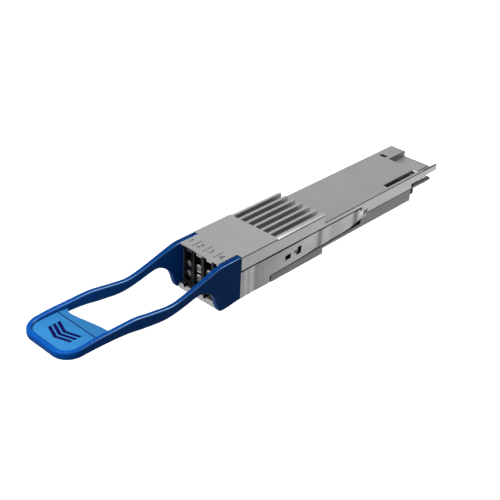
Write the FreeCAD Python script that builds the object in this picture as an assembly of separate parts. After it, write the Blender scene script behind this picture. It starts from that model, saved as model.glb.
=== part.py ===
"""Pluggable optical transceiver module with a pull tab, in millimetres.

Module frame used while modelling: X = 0 at the front face of the nose, +X towards the
electrical card edge, Y = 0 on the centre line, Z = 0 at the bottom of the in-cage body.
Every solid is moved by TO_ROW at export, so the row frame has its origin at the centre
of the bounding box's bottom.
"""
import FreeCAD, Part
import math
import os

V = FreeCAD.Vector

# ---- envelope ---------------------------------------------------------------------------
HALF_W = 9.175          # half of the 18.35 mm in-cage width
BODY_H = 8.5            # in-cage height
NOSE_TOP = 11.4         # top of the label plate and of the fins
NOSE_BOTTOM = -1.9      # underside of the nose
LIP_BOTTOM = -2.6       # lowest point, the front lip under the ports
STOP_X = 41.3           # hard stop: the nose ends, the in-cage body begins
CAGE_END_X = 84.5       # rear end of the lower housing
SHELL_END_X = 89.0      # rear end of the upper housing's full roof
WING_END_X = 98.1       # rear end of the roof wings
TONGUE_END_X = 98.4     # rear end of the low roof tongue between the wings

# ---- housings ---------------------------------------------------------------------------
SPLIT_Z = 4.15          # parting plane between upper and lower housing
PART_GAP = 0.16         # shadow gap along the parting plane
FLOOR_T = 1.0           # floor of the lower housing
ROOF_Z = 7.4            # inside of the in-cage roof
WEB_Z = 7.6             # inside of the nose roof, under the heat sink
REAR_IN_Y = 8.35        # half width of the cavity behind the latch pockets
FRONT_IN_Y = 7.7        # half width of the cavity beside the slider
NOSE_IN_Y = 7.35        # half width of the cavity around the port adapter

# ---- latch slider and its recess ----------------------------------------------------------
RECESS_Y = 8.5          # wall that the slider runs along
STEEL = 0.3             # sheet thickness
ARM_OUT_Y = 8.9         # outer face of the slider's arms
ARM_IN_Y = ARM_OUT_Y - STEEL
SLIDER_TOP = 6.85
SLIDER_END_X = 58.7
RECESS_TOP = 7.05
BRIDGE_X = (8.5, 18.6)  # the strap that joins the arms under the nose
POCKET_X = (58.85, 61.8)
POCKET_Z = (3.0, 5.5)
POCKET_DEPTH_Y = 8.45
TRAVEL = 1.5            # pull of the tab, set by the stop lug in its window

# ---- pull tab ---------------------------------------------------------------------------
TAB_FRONT_X = -51.1
TAB_REAR_X = 6.75
PANEL_FRONT_X = -0.6
PANEL_IN_Y = 7.425
TAB_ARM_T = 1.5
TAB_CORNER_R = 5.0

# ---- optical ports -------------------------------------------------------------------------
PORT_PITCH = 3.8
PORT_W = 2.7
PORT_Z = (-0.5, 10.0)
FERRULE_Z = (1.7, 4.8)
FERRULE_R = 0.625
ADAPTER_X = (1.2, 15.0)
ADAPTER_HALF_W = 7.3
PORT_BACK_X = 12.5

# ---- heat sink ------------------------------------------------------------------------------
SINK_HALF_W = 8.6       # the insert below its flange
SINK_POCKET_Y = 8.65    # the housing's pocket for it
PLATE_FLANGE_Z = 11.2   # underside of the flange beside the label plate
FIN_FLANGE_Z = 10.9     # underside of the flange beside the fins
SEAM = 0.15             # gap between the flange and the wall under it
SINK_SEAT_Z = 8.4       # floor of the housing's pocket under the fins
SINK_FLOOR = 9.2        # floor of the grooves
FIN_X = (21.2, STOP_X)
FIN_PITCH = 2.8
FIN_T = 1.0
OUTER_FIN_Y = 7.8       # inner face of the outermost fins
OUTER_CHAMFER = 0.5
INNER_FINS = 5
STEP_X = 16.5           # the plate thickens into the finned block here

# ---- circuit board --------------------------------------------------------------------------
BOARD_Z = (3.0, 4.0)
BOARD_TOP = BOARD_Z[1]
BOARD_X = (31.0, 96.5)
BOARD_NECK_Y = 7.2
BOARD_SHOULDER_X = 62.0  # the board widens to the card edge here
PADDLE_HALF_W = 8.2
PAD_PITCH = 0.8
PADS_PER_ROW = 19

# ---- screws ---------------------------------------------------------------------------------
SCREW_R = 0.8
SCREW_HEAD_R = 1.35
SCREW_SITES = [(44.5, 5.2), (44.5, -5.2), (79.5, 4.8), (79.5, -4.8)]
BOSS_R = 1.5

TO_ROW = V(-(TAB_FRONT_X + TONGUE_END_X) / 2, 0, -LIP_BOTTOM)


# ---- small helpers ----------------------------------------------------------------------------
def box(x, y, z):
    """Box from three (low, high) pairs."""
    size = (x[1] - x[0], y[1] - y[0], z[1] - z[0])
    return Part.makeBox(size[0], size[1], size[2], V(x[0], y[0], z[0]))


def slab(x, half_width, z):
    """Box centred on the centre line."""
    return box(x, (-half_width, half_width), z)


def mirrored(shape):
    """The same shape on the other side of the centre line."""
    return shape.mirror(V(0, 0, 0), V(0, 1, 0))


def pair(shape):
    """A shape and its mirror image as a list."""
    return [shape, mirrored(shape)]


def fuse(shapes):
    whole = shapes[0].multiFuse(shapes[1:]) if len(shapes) > 1 else shapes[0]
    return whole.removeSplitter()


def cut(base, tools):
    return base.cut(Part.makeCompound(tools)).removeSplitter()


def rod(centre, radius, length, axis=V(1, 0, 0)):
    return Part.makeCylinder(radius, length, V(*centre), axis)


def tube(centre, outer, inner, length):
    """Tube along +X from its front end."""
    front = (centre[0] - 1, centre[1], centre[2])
    return rod(centre, outer, length).cut(rod(front, inner, length + 2))


def side_prism(points, y):
    """Polygon drawn in X and Z, extruded along Y."""
    wire = Part.makePolygon([V(px, y[0], pz) for px, pz in points + points[:1]])
    return Part.Face(wire).extrude(V(0, y[1] - y[0], 0))


def plan_prism(points, z):
    """Polygon drawn in X and Y, extruded along Z."""
    wire = Part.makePolygon([V(px, py, z[0]) for px, py in points + points[:1]])
    return Part.Face(wire).extrude(V(0, 0, z[1] - z[0]))


def vertical_edges_at(shape, x, tolerance=0.01):
    """Edges parallel to Z whose X is the given one."""
    found = []
    for edge in shape.Edges:
        ends = [vertex.Point for vertex in edge.Vertexes]
        if len(ends) == 2 and all(abs(end.x - x) < tolerance for end in ends):
            if abs(ends[0].z - ends[1].z) > tolerance and abs(ends[0].y - ends[1].y) < tolerance:
                found.append(edge)
    return found


def port_centres():
    return [PORT_PITCH * (index - 1.5) for index in range(4)]


def ferrule_sites():
    return [(y, z) for y in port_centres() for z in FERRULE_Z]


# ---- housings ----------------------------------------------------------------------------------
def slider_recess_floor(x):
    """Height of the ledge under the slider, which climbs gently to the rear."""
    return 0.15 + (x - BRIDGE_X[1]) * 0.03


def upper_housing():
    """Roof, upper walls, rails beside the heat sink and the rear roof wings."""
    low = SPLIT_Z + PART_GAP / 2
    nose = slab((TAB_REAR_X + 0.1, STOP_X), HALF_W, (low, NOSE_TOP))
    body = slab((STOP_X, SHELL_END_X), HALF_W, (low, BODY_H))
    left_wing = box((SHELL_END_X - 1, WING_END_X), (3.45, HALF_W), (6.3, BODY_H))
    left_skirt = box((SHELL_END_X - 1, 92.3), (8.4, HALF_W), (5.85, 7.0))
    right_wing = box((SHELL_END_X - 1, 97.9), (-HALF_W, -8.7), (6.3, BODY_H))
    right_skirt = box((SHELL_END_X - 1, 92.3), (-HALF_W, -8.7), (5.85, 7.0))
    tongue = box((SHELL_END_X - 1, TONGUE_END_X), (-6.2, 3.65), (5.75, 6.55))
    shell = fuse([nose, body, left_wing, left_skirt, right_wing, right_skirt, tongue])

    recess_x = (0.0, POCKET_X[0])
    lug = box((28.6, 30.1), (RECESS_Y - 0.2, 8.95), (low, 4.85))
    side_cuts = [box(recess_x, (RECESS_Y, HALF_W + 1), (0.0, RECESS_TOP)),
                 box(POCKET_X, (POCKET_DEPTH_Y, HALF_W + 1), (0.0, POCKET_Z[1]))]
    shell = cut(shell, [half for tool in side_cuts for half in pair(tool)])
    shell = fuse([shell] + pair(lug))

    cavities = [slab((0.0, STEP_X), NOSE_IN_Y, (0.0, NOSE_TOP + 1)),
                slab((STEP_X - 1, STOP_X), NOSE_IN_Y, (0.0, WEB_Z)),
                slab((STOP_X - 1, POCKET_X[1] + 0.4), FRONT_IN_Y, (0.0, ROOF_Z)),
                slab((POCKET_X[1], SHELL_END_X + 1), REAR_IN_Y, (0.0, 5.75)),
                slab((POCKET_X[1], CAGE_END_X + 2.5), REAR_IN_Y, (5.0, ROOF_Z)),
                slab((0.0, STEP_X + 0.01), SINK_POCKET_Y, (10.4, NOSE_TOP + 1)),
                slab((STEP_X, STOP_X + 0.1), SINK_POCKET_Y, (SINK_SEAT_Z, NOSE_TOP + 1)),
                slab((0.0, STOP_X + 0.1), HALF_W + 1, (PLATE_FLANGE_Z - SEAM, NOSE_TOP + 1)),
                slab((FIN_X[0], STOP_X + 0.1), HALF_W + 1, (FIN_FLANGE_Z - SEAM, NOSE_TOP + 1)),
                slab((CAGE_END_X, SHELL_END_X + 1), HALF_W + 1, (0.0, 5.85)),
                box((72.6, 88.1), (-8.2, -6.5), (7.0, BODY_H + 1)),
                box((88.9, 90.2), (5.0, 7.4), (6.0, BODY_H + 1))]
    shell = cut(shell, cavities)

    bosses = [rod((x, y, 1.7), BOSS_R, ROOF_Z - 1.6, V(0, 0, 1)) for x, y in SCREW_SITES]
    shell = fuse([shell] + bosses)
    threads = [rod((x, y, 1.0), SCREW_R + 0.02, 5.2, V(0, 0, 1)) for x, y in SCREW_SITES]
    return cut(shell, threads)


def lower_housing():
    """Tray under the board, the nose floor with its toothed lip and the spring pockets."""
    high = SPLIT_Z - PART_GAP / 2
    tray = slab((STOP_X - 1, CAGE_END_X), HALF_W, (0.0, high))
    nose = slab((TAB_REAR_X + 0.1, STOP_X), HALF_W, (NOSE_BOTTOM, high))
    chin = slab((-0.5, TAB_REAR_X + 0.2), 7.3, (NOSE_BOTTOM, -0.95))
    lip = slab((-0.5, 0.9), 7.3, (LIP_BOTTOM, -0.75))
    shell = fuse([tray, nose, chin, lip])

    recess = side_prism([(0.0, high + 1), (0.0, NOSE_BOTTOM - 1), (BRIDGE_X[1] + 0.4, NOSE_BOTTOM - 1),
                         (BRIDGE_X[1] + 0.4, slider_recess_floor(BRIDGE_X[1])),
                         (POCKET_X[0], slider_recess_floor(POCKET_X[0])), (POCKET_X[0], high + 1)],
                        (RECESS_Y, HALF_W + 1))
    pocket = box(POCKET_X, (POCKET_DEPTH_Y, HALF_W + 1), (POCKET_Z[0], high + 1))
    spring_room = box((20.5, 27.9), (6.8, HALF_W + 1), (2.55, high + 1))
    bridge_room = slab((TAB_REAR_X, BRIDGE_X[1] + 0.4), HALF_W + 1, (NOSE_BOTTOM - 1, -1.5))

    cavities = [slab((ADAPTER_X[0] - 0.1, STEP_X), NOSE_IN_Y, (-0.95, high + 1)),
                slab((STEP_X - 1, 30.5), 6.4, (-0.7, high + 1)),
                slab((30.0, STOP_X), NOSE_IN_Y, (-0.7, high + 1)),
                slab((STOP_X - 1, POCKET_X[1] + 0.4), FRONT_IN_Y, (FLOOR_T, high + 1)),
                slab((POCKET_X[1], CAGE_END_X + 1), REAR_IN_Y, (FLOOR_T, high + 1)),
                bridge_room]
    shell = cut(shell, cavities + pair(recess) + pair(pocket) + pair(spring_room))

    lug = box((28.6, 30.1), (RECESS_Y - 0.2, 8.95), (3.5, high))
    posts = [rod((x, y, FLOOR_T - 0.2), 0.9, BOARD_Z[0] - FLOOR_T + 0.2, V(0, 0, 1))
             for x in (54.0, 71.0) for y in (-6.6, 6.6)]
    seats = [rod((x, y, FLOOR_T - 0.2), BOSS_R, 0.7 - PART_GAP + 0.2, V(0, 0, 1)) for x, y in SCREW_SITES]
    shell = fuse([shell] + pair(lug) + posts + seats)

    holes = []
    for x, y in SCREW_SITES:
        holes.append(rod((x, y, -1.0), SCREW_R + 0.05, 4.0, V(0, 0, 1)))
        holes.append(rod((x, y, -1.0), SCREW_HEAD_R + 0.1, 1.7, V(0, 0, 1)))
    notches = [box((-1.0, 1.0), (y - 1.4, y - 0.4), (-1.4, 0.0)) for y in port_centres()]
    label_bed = slab((50.0, 76.0), 4.2, (-0.5, 0.1))
    return cut(shell, holes + notches + [label_bed])


def nose_heat_sink():
    """Insert with the numbered label plate in front and seven fins behind it."""
    front = TAB_REAR_X + 0.1
    plate = fuse([slab((0.0, FIN_X[0]), SINK_HALF_W, (10.4, NOSE_TOP)),
                  slab((front, FIN_X[0]), HALF_W, (PLATE_FLANGE_Z, NOSE_TOP))])
    plate = cut(plate, pair(box((-1.0, front), (7.35, 10.0), (10.0, 12.0))))
    block = slab((STEP_X + 0.1, FIN_X[0]), SINK_HALF_W, (SINK_SEAT_Z, NOSE_TOP))
    base = slab((FIN_X[0] - 0.5, STOP_X), SINK_HALF_W, (SINK_SEAT_Z, SINK_FLOOR))
    fins = []
    for index in range(INNER_FINS):
        y = FIN_PITCH * (index - (INNER_FINS - 1) / 2)
        fins.append(box((FIN_X[0] - 0.5, STOP_X), (y - FIN_T / 2, y + FIN_T / 2), (SINK_FLOOR - 0.2, NOSE_TOP)))
    outer = fuse([box((FIN_X[0] - 0.5, STOP_X), (OUTER_FIN_Y, SINK_HALF_W), (SINK_FLOOR - 0.2, NOSE_TOP)),
                  box((FIN_X[0], STOP_X), (OUTER_FIN_Y, HALF_W), (FIN_FLANGE_Z, NOSE_TOP))])
    bevel = Part.makePolygon([V(FIN_X[0], HALF_W, NOSE_TOP), V(FIN_X[0], HALF_W - OUTER_CHAMFER, NOSE_TOP),
                              V(FIN_X[0], HALF_W, FIN_FLANGE_Z + 0.05), V(FIN_X[0], HALF_W, NOSE_TOP)])
    outer = outer.cut(Part.Face(bevel).extrude(V(STOP_X - FIN_X[0], 0, 0)))
    sink = fuse([plate, block, base] + fins + pair(outer))
    mouths = [box((-1.0, 1.1), (y - 0.95, y + 0.95), (10.0, 10.95)) for y in port_centres()]
    bell = slab((-1.0, 1.1), 7.4, (10.0, 10.55))
    teeth = [box((0.0, 0.8), (y - 0.95, y + 0.95), (10.25, 10.6)) for y in (-PORT_PITCH, 0, PORT_PITCH)]
    return fuse([cut(sink, mouths + [bell])] + teeth)


# ---- pull tab and latch ---------------------------------------------------------------------------
TAB_TOP_CURVE = [(0.6, NOSE_TOP), (-5.5, 10.1), (-11.0, 8.7), (-17.5, 7.5), (-24.0, 8.3),
                 (-31.0, 9.3), (-40.0, 9.3), (TAB_FRONT_X, 8.7)]
TAB_BOTTOM_CURVE = [(TAB_FRONT_X, 6.4), (-42.0, 6.5), (-33.0, 6.0), (-26.5, 4.9), (-20.0, 4.15),
                    (-14.5, 4.8), (-9.0, 6.1), (-5.5, 5.4), (-3.0, 3.0), (-1.5, -1.2),
                    (PANEL_FRONT_X, -2.4)]


def spline_edge(points, y):
    curve = Part.BSplineCurve()
    curve.interpolate([V(px, y, pz) for px, pz in points])
    return curve.toShape()


def tab_side_solid():
    """The wavy side view of the tab, extruded over the full width."""
    y = -HALF_W
    corners = [(0.6, NOSE_TOP), (TAB_REAR_X, NOSE_TOP), (TAB_REAR_X, NOSE_BOTTOM), (PANEL_FRONT_X, -2.4)]
    edges = [spline_edge(TAB_TOP_CURVE, y), spline_edge(TAB_BOTTOM_CURVE, y),
             Part.makeLine(V(TAB_FRONT_X, y, 6.4), V(TAB_FRONT_X, y, 8.7))]
    for start, end in zip(corners, corners[1:]):
        edges.append(Part.makeLine(V(start[0], y, start[1]), V(end[0], y, end[1])))
    wire = Part.Wire(Part.__sortEdges__(edges))
    return Part.Face(wire).extrude(V(0, 2 * HALF_W, 0))


def tab_plan_solid():
    """The tab seen from above: a rounded loop, open at the nose."""
    tall = (-5.0, 14.0)
    outer = slab((TAB_FRONT_X, TAB_REAR_X), HALF_W, tall)
    outer = outer.makeFillet(TAB_CORNER_R, vertical_edges_at(outer, TAB_FRONT_X))
    inner_x = TAB_FRONT_X + TAB_ARM_T
    inner = slab((inner_x, PANEL_FRONT_X), HALF_W - TAB_ARM_T, (-6.0, 15.0))
    inner = inner.makeFillet(TAB_CORNER_R - TAB_ARM_T, vertical_edges_at(inner, inner_x))
    throat = slab((PANEL_FRONT_X - 0.1, TAB_REAR_X + 1), PANEL_IN_Y, (-6.0, 15.0))
    return outer, cut(outer, [inner, throat])


# The pad's rear edge runs slightly askew, with a hollow on its left side.
PAD_BACK_CURVE = [(-37.2, 7.9), (-38.2, 6.2), (-38.1, 3.8), (-37.2, 0.0), (-36.4, -3.5), (-35.9, -7.9)]


def pad_back_cutter():
    """Everything behind the pad's rear edge."""
    curve = Part.BSplineCurve()
    curve.interpolate([V(px, py, 0) for px, py in PAD_BACK_CURVE])
    first, last = PAD_BACK_CURVE[0], PAD_BACK_CURVE[-1]
    far = -30.0
    edges = [curve.toShape(), Part.makeLine(V(first[0], first[1], 0), V(far, first[1], 0)),
             Part.makeLine(V(far, first[1], 0), V(far, last[1], 0)),
             Part.makeLine(V(far, last[1], 0), V(last[0], last[1], 0))]
    wire = Part.Wire(Part.__sortEdges__(edges))
    return Part.Face(wire).extrude(V(0, 0, 12))


def pull_tab():
    """Moulded pull tab: two wavy arms, a gripping pad and the panels beside the nose."""
    outline, loop = tab_plan_solid()
    arms = tab_side_solid().common(loop)
    pad = side_prism([(TAB_FRONT_X + 0.8, 8.1), (-40.4, 8.0), (-34.0, 7.3), (-34.0, 6.3),
                      (TAB_FRONT_X + 0.8, 6.6)], (-HALF_W + 1.3, HALF_W - 1.3))
    pad = pad.common(outline).cut(pad_back_cutter())
    tab = fuse([arms, pad])
    anchors = pair(box((1.2, TAB_REAR_X + 1), (ARM_IN_Y, ARM_OUT_Y), (-1.0, 6.0)))
    return cut(tab, anchors)


def latch_slider():
    """Steel strap under the nose with two arms, their windows, spring tabs and flared tips."""
    plan = plan_prism([(1.2, ARM_IN_Y), (1.2, ARM_OUT_Y), (56.9, ARM_OUT_Y), (58.4, 9.15),
                       (SLIDER_END_X, 9.15), (SLIDER_END_X, 8.87), (56.9, ARM_IN_Y)], (-3.0, 8.0))
    profile = side_prism([(1.2, -1.0), (TAB_REAR_X + 0.05, -1.0), (TAB_REAR_X + 0.05, NOSE_BOTTOM),
                          (BRIDGE_X[1] - 0.4, NOSE_BOTTOM), (BRIDGE_X[1], NOSE_BOTTOM + 0.4),
                          (BRIDGE_X[1], 0.1), (BRIDGE_X[1] + 0.6, 0.35), (SLIDER_END_X, 1.55),
                          (SLIDER_END_X, SLIDER_TOP), (TAB_REAR_X + 0.05, SLIDER_TOP),
                          (TAB_REAR_X + 0.05, 6.0), (1.2, 6.0)], (8.0, 9.3))
    spring_window = box((24.8, 27.2), (8.0, 9.5), (2.6, 4.2))
    stop_window = fuse([box((28.5, 30.2 + TRAVEL), (8.0, 9.5), (3.4, 4.95)),
                        box((29.6, 31.6), (8.0, 9.5), (2.5, 4.95))])
    arm = cut(plan.common(profile), [spring_window, stop_window])
    spring_tab = box((27.2, 27.5), (6.95, ARM_OUT_Y), (2.75, 3.95))
    bridge = slab(BRIDGE_X, ARM_OUT_Y, (NOSE_BOTTOM, NOSE_BOTTOM + STEEL))
    return fuse(pair(arm) + pair(spring_tab) + [bridge])


SPRING_X = (20.6, 27.1)
SPRING_Y = 7.6
SPRING_Z = 3.32
SPRING_R = 0.6
SPRING_WIRE_R = 0.12
SPRING_TURNS = 10


def return_spring():
    """Compression spring between the front of its pocket and the slider's tab."""
    length = SPRING_X[1] - SPRING_X[0] - 2 * SPRING_WIRE_R
    helix = Part.makeHelix(length / SPRING_TURNS, length, SPRING_R)
    start = Part.Wire(Part.makeCircle(SPRING_WIRE_R, V(SPRING_R, 0, 0), V(0, 1, 0)))
    coil = Part.Wire(helix).makePipeShell([start], True, True)
    coil.rotate(V(0, 0, 0), V(0, 1, 0), 90)
    coil.translate(V(SPRING_X[0] + SPRING_WIRE_R, SPRING_Y, SPRING_Z))
    return coil


# ---- optical side ----------------------------------------------------------------------------------
def port_adapter():
    """Black receptacle with four upright ports, each for a two-fibre plug."""
    body = slab(ADAPTER_X, ADAPTER_HALF_W, (-0.9, 10.3))
    ports = [box((0.0, PORT_BACK_X), (y - PORT_W / 2, y + PORT_W / 2), PORT_Z) for y in port_centres()]
    holes = [rod((PORT_BACK_X - 1, y, z), 1.21, 5) for y, z in ferrule_sites()]
    keys = [box((3.0, PORT_BACK_X), (y - PORT_W / 2 - 0.25, y + PORT_W / 2 + 0.25), (8.2, 9.2))
            for y in port_centres()]
    return cut(body, ports + holes + keys)


def sleeve_barrels():
    return [tube((2.0, y, z), 1.2, 0.83, ADAPTER_X[1] - 2.0) for y, z in ferrule_sites()]


def ferrule_sleeves():
    """Slotted ceramic sleeves that line the fibres up."""
    sleeves = []
    for y, z in ferrule_sites():
        sleeve = tube((2.6, y, z), 0.81, FERRULE_R + 0.01, 11.0)
        sleeves.append(sleeve.cut(box((2.0, 14.5), (y - 0.08, y + 0.08), (z, z + 1.2))))
    return sleeves


def ferrule_stubs():
    return [rod((8.0, y, z), FERRULE_R, 9.2) for y, z in ferrule_sites()]


def adapter_retainer():
    """Plate that closes the back of the adapter and carries the stubs."""
    plate = slab((15.05, 16.4), 7.2, (0.2, 6.4))
    return cut(plate, [rod((14.0, y, z), FERRULE_R + 0.03, 4) for y, z in ferrule_sites()])


FIBRE_R = 0.1
FIBRE_PITCH = 0.3
FIBRE_END = (29.0, BOARD_TOP + 0.8)


def fibre(start, end):
    """Fibre that leaves along +X, bends over in one S of two equal arcs and lands along +X."""
    a, b = V(*start), V(*end)
    lead = 1.0
    p, q = a + V(lead, 0, 0), b - V(lead, 0, 0)
    across = q - p
    run = across.x
    across.x = 0
    offset = across.Length
    side = across.normalize()
    half_turn = 2 * math.atan2(offset, run)
    radius = (run / 2) / math.sin(half_turn)
    middle = (p + q) * 0.5

    def on_arc(origin, sign, angle):
        return origin + V(sign * radius * math.sin(angle), 0, 0) \
            + side * (sign * radius * (1 - math.cos(angle)))

    first = Part.Arc(p, on_arc(p, 1, half_turn / 2), middle).toShape()
    second = Part.Arc(middle, on_arc(q, -1, half_turn / 2), q).toShape()
    path = Part.Wire([Part.makeLine(a, p), first, second, Part.makeLine(q, b)])
    profile = Part.Wire(Part.makeCircle(FIBRE_R, a, V(1, 0, 0)))
    return path.makePipeShell([profile], True, True)


def optical_fibres():
    fibres = []
    for index, (y, z) in enumerate(ferrule_sites()):
        landing = (FIBRE_END[0], FIBRE_PITCH * (index - 3.5), FIBRE_END[1])
        fibres.append(fibre((17.25, y, z), landing))
    return fibres


def fibre_array():
    """Glass block that holds the eight fibre ends in front of the photonic chip."""
    return slab((29.05, 32.4), 1.9, (BOARD_TOP + 0.12, BOARD_TOP + 1.4))


# ---- electronics ---------------------------------------------------------------------------------
def circuit_board():
    """Board with its neck beside the slider and the card edge at the rear."""
    top = BOARD_Z
    neck = slab((BOARD_X[0], BOARD_SHOULDER_X + 1), BOARD_NECK_Y, top)
    paddle = slab((BOARD_SHOULDER_X, BOARD_X[1]), PADDLE_HALF_W, top)
    board = fuse([neck, paddle])
    bevel = [side_prism([(BOARD_X[1] + 0.1, top[0] - 0.1), (BOARD_X[1] - 0.6, top[0] - 0.1),
                         (BOARD_X[1] + 0.1, top[0] + 0.35)], (-9, 9)),
             side_prism([(BOARD_X[1] + 0.1, top[1] + 0.1), (BOARD_X[1] - 0.6, top[1] + 0.1),
                         (BOARD_X[1] + 0.1, top[1] - 0.35)], (-9, 9))]
    holes = [rod((x, y, BOARD_Z[0] - 0.5), BOSS_R + 0.1, 2.0, V(0, 0, 1)) for x, y in SCREW_SITES]
    return cut(board, bevel + holes)


def contact_pads(face_z, outward):
    """Two rows of gold contacts on one face of the card edge."""
    pads = []
    low, high = sorted((face_z, face_z + 0.05 * outward))
    for row_x in ((91.0, 92.6), (93.4, 95.2)):
        for index in range(PADS_PER_ROW):
            y = PAD_PITCH * (index - (PADS_PER_ROW - 1) / 2)
            pads.append(box(row_x, (y - 0.27, y + 0.27), (low, high)))
    return pads


def chip(x, y, size_x, size_y, height, top=True):
    """Package standing on the board's upper or lower face."""
    z = (BOARD_TOP, BOARD_TOP + height) if top else (BOARD_Z[0] - height, BOARD_Z[0])
    return box((x - size_x / 2, x + size_x / 2), (y - size_y / 2, y + size_y / 2), z)


DSP_X = 53.0
DSP_LID_Z = (BOARD_TOP + 0.6, BOARD_TOP + 1.4)
CARRIER_TOP = BOARD_TOP + 0.7
ENGINE_LID_TOP = CARRIER_TOP + 1.5


def dsp_package():
    return chip(DSP_X, 0, 11.0, 9.0, 0.6)


def dsp_lid():
    return slab((DSP_X - 4.6, DSP_X + 4.6), 3.9, DSP_LID_Z)


def photonic_engine():
    return box((32.5, 41.0), (-4.6, 4.6), (BOARD_TOP, CARRIER_TOP))


def engine_lid():
    """Open-bottomed cover over the laser and modulator chips."""
    cover = slab((32.6, 40.9), 4.5, (CARRIER_TOP, ENGINE_LID_TOP))
    room = slab((31.0, 40.4), 4.0, (CARRIER_TOP, ENGINE_LID_TOP - 0.4))
    return cover.cut(room)


def laser_chips():
    height = (CARRIER_TOP, CARRIER_TOP + 0.4)
    return [box((37.8, 38.8), (y - 0.4, y + 0.4), height) for y in (-3.0, -1.0, 1.0, 3.0)]


def driver_chip():
    return box((33.4, 36.8), (-3.2, 3.2), (CARRIER_TOP, CARRIER_TOP + 0.5))


def power_inductors():
    return [chip(x, y, 2.5, 2.0, 1.2, top=False) for x, y in ((66.5, 4.6), (66.5, -4.6), (70.0, 0.0))]


def voltage_regulators():
    return [chip(x, 0.0, 3.0, 3.0, 0.8, top=False) for x in (62.0, 75.0)]


def decoupling_capacitors():
    """Small capacitors in rows along both edges of the board and around the main chips."""
    sites = [(47.0 + 1.6 * index, side * 6.0) for side in (-1, 1) for index in range(8)]
    sites += [(62.5 + 1.6 * index, side * 6.4) for side in (-1, 1) for index in range(7)]
    return [chip(x, y, 1.0, 0.5, 0.5) for x, y in sites]


def coupling_capacitors():
    """One small series capacitor on each high-speed pair behind the contacts."""
    return [chip(82.4, 1.6 * (index - 3.5), 0.6, 0.3, 0.3) for index in range(8)]


def card_seal(z):
    """Conductive foam that closes the rear of the housings around the card."""
    return slab((83.0, 87.2), REAR_IN_Y - 0.05, z)


def seam_gaskets():
    """Gasket strips along the parting plane, on the ledge inside both walls."""
    strip = box((62.8, 82.0), (8.25, 8.33), (SPLIT_Z - 0.5, SPLIT_Z + 0.5))
    return pair(strip)


def housing_screws():
    """Four socket screws driven from below."""
    screws = []
    for x, y in SCREW_SITES:
        head = rod((x, y, 0.06), SCREW_HEAD_R, 0.6, V(0, 0, 1))
        shank = rod((x, y, 0.6), SCREW_R, 5.0, V(0, 0, 1))
        socket = Part.Face(Part.makePolygon([V(x, y, 0) + V(0.55 * math.cos(math.radians(60 * k)),
                                                            0.55 * math.sin(math.radians(60 * k)), 0)
                                             for k in range(7)])).extrude(V(0, 0, 0.5))
        screws.append(fuse([head, shank]).cut(socket))
    return screws


# ---- export -----------------------------------------------------------------------------------------
def export(name, shape):
    """Write one node; a list of solids becomes one compound."""
    whole = Part.makeCompound(shape) if isinstance(shape, list) else shape
    whole = whole.copy()
    whole.translate(TO_ROW)
    assert whole.isValid() and whole.Solids, name
    whole.exportStep("parts/" + name + ".step")
    low, high = whole.BoundBox, whole.BoundBox
    print("%-24s %2d solids  x %7.2f %7.2f  y %6.2f %6.2f  z %6.2f %6.2f" % (
        name, len(whole.Solids), low.XMin, high.XMax, low.YMin, high.YMax, low.ZMin, high.ZMax))


def main():
    os.makedirs("parts", exist_ok=True)
    nodes = {
        "upper_housing": upper_housing(),
        "lower_housing": lower_housing(),
        "nose_heat_sink": nose_heat_sink(),
        "pull_tab": pull_tab(),
        "latch_slider": latch_slider(),
        "return_spring_left": return_spring(),
        "return_spring_right": mirrored(return_spring()),
        "port_adapter": port_adapter(),
        "sleeve_barrels": sleeve_barrels(),
        "ferrule_sleeves": ferrule_sleeves(),
        "ferrule_stubs": ferrule_stubs(),
        "adapter_retainer": adapter_retainer(),
        "optical_fibres": optical_fibres(),
        "fibre_array": fibre_array(),
        "photonic_engine": photonic_engine(),
        "engine_lid": engine_lid(),
        "laser_chips": laser_chips(),
        "driver_chip": driver_chip(),
        "engine_thermal_pad": slab((33.0, 40.5), 4.0, (ENGINE_LID_TOP, WEB_Z)),
        "circuit_board": circuit_board(),
        "contact_pads_top": contact_pads(BOARD_TOP, 1),
        "contact_pads_bottom": contact_pads(BOARD_Z[0], -1),
        "dsp_package": dsp_package(),
        "dsp_lid": dsp_lid(),
        "dsp_thermal_pad": slab((DSP_X - 4.2, DSP_X + 4.2), 3.6, (DSP_LID_Z[1], ROOF_Z)),
        "microcontroller": chip(66.5, 0.0, 5.0, 5.0, 0.9),
        "clock_oscillator": chip(74.5, -2.2, 3.2, 2.5, 0.9),
        "memory_chip": chip(74.5, 2.2, 3.0, 3.0, 0.8),
        "power_inductors": power_inductors(),
        "voltage_regulators": voltage_regulators(),
        "decoupling_capacitors": decoupling_capacitors(),
        "coupling_capacitors": coupling_capacitors(),
        "card_seal_upper": card_seal((BOARD_TOP, 5.7)),
        "card_seal_lower": card_seal((FLOOR_T + 0.3, BOARD_Z[0])),
        "seam_gaskets": seam_gaskets(),
        "housing_screws": housing_screws(),
        "blank_label": slab((50.2, 75.8), 4.0, (0.02, 0.1)),
    }
    for name, shape in nodes.items():
        export(name, shape)


main()
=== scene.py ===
"""Optical transceiver module: the visual model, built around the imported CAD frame.

Pieces are modelled in the module frame, in millimetres: X = 0 at the front of the nose, +X towards
the card edge, Y = 0 on the centre line, Z = 0 at the bottom of the in-cage body. place() moves a
finished mesh into the row frame, in metres.
"""
import math

import bmesh
import bpy
from mathutils import Matrix, Vector


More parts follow.
